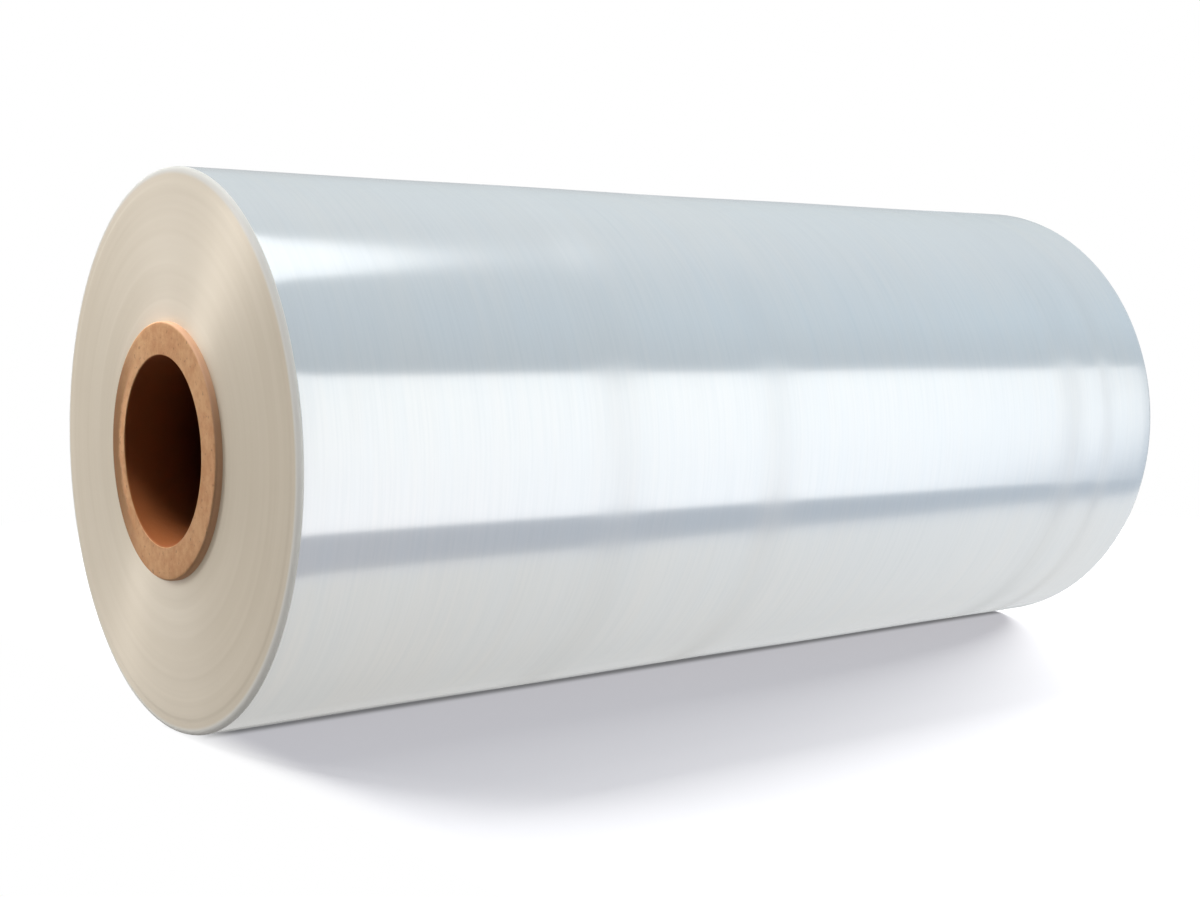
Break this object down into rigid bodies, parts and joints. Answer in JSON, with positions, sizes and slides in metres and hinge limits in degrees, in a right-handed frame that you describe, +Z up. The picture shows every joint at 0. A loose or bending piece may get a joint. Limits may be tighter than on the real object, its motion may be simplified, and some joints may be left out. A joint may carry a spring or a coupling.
{
  "type": "roll of polypropylene film",
  "caption": "Full roll of clear polypropylene wrapping film, wound on a thick cardboard core that stands slightly proud of the film at both ends.",
  "frame": {"origin": "centre of the core's lower end, on the plane that the roll stands on", "axes": "+Z up along the winding axis, through the middle of the core's bore; the roll stands on the lower end of its core, and the end that the picture shows is the upper one; X and Y are free, because the roll is round"},
  "size_m": [0.2256, 0.2254, 0.4976],
  "materials": {
    "film": "clear film, milky where it is wound, glossy with fine lines round the roll; satin on the end faces",
    "core_board": "raw brown board, flecked with fibres"
  },
  "bodies": {
    "root": {"film_roll": "film", "core_tube": "core_board"}
  },
  "joints": []
}
